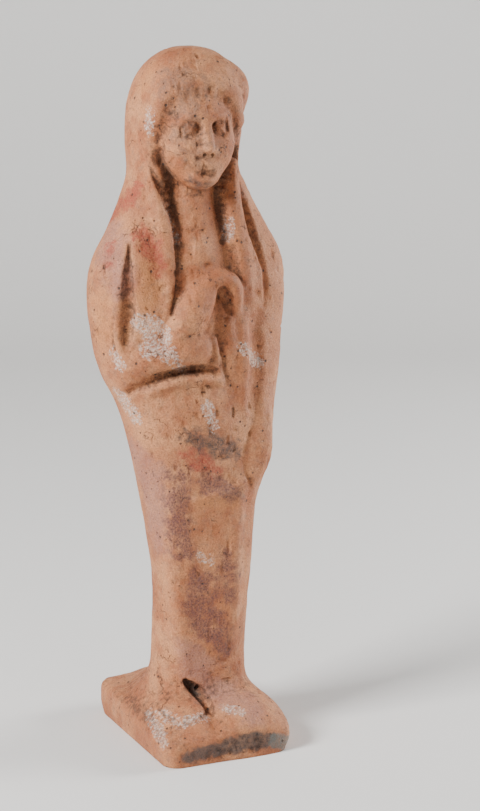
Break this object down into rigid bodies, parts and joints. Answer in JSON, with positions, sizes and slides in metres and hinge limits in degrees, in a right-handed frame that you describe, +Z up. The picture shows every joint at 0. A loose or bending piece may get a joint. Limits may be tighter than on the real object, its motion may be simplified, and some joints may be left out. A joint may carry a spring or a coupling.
{
  "type": "terracotta votive figurine",
  "caption": "Small standing terracotta figurine of a veiled woman holding a dove to her breast, moulded in one piece with a low rectangular block under her feet.",
  "frame": {"origin": "middle of the block's underside, on the surface the figurine stands on", "axes": "+Z up the figure from sole to crown; the face looks along -Y; +X is the viewer's right and the woman's left"},
  "size_m": [0.0591, 0.0569, 0.2],
  "materials": {
    "terracotta": "unglazed fired clay, matt and worn, with lime deposits, dark earth in the folds and traces of red pigment"
  },
  "bodies": {
    "root": {"figurine": "terracotta"}
  },
  "joints": []
}
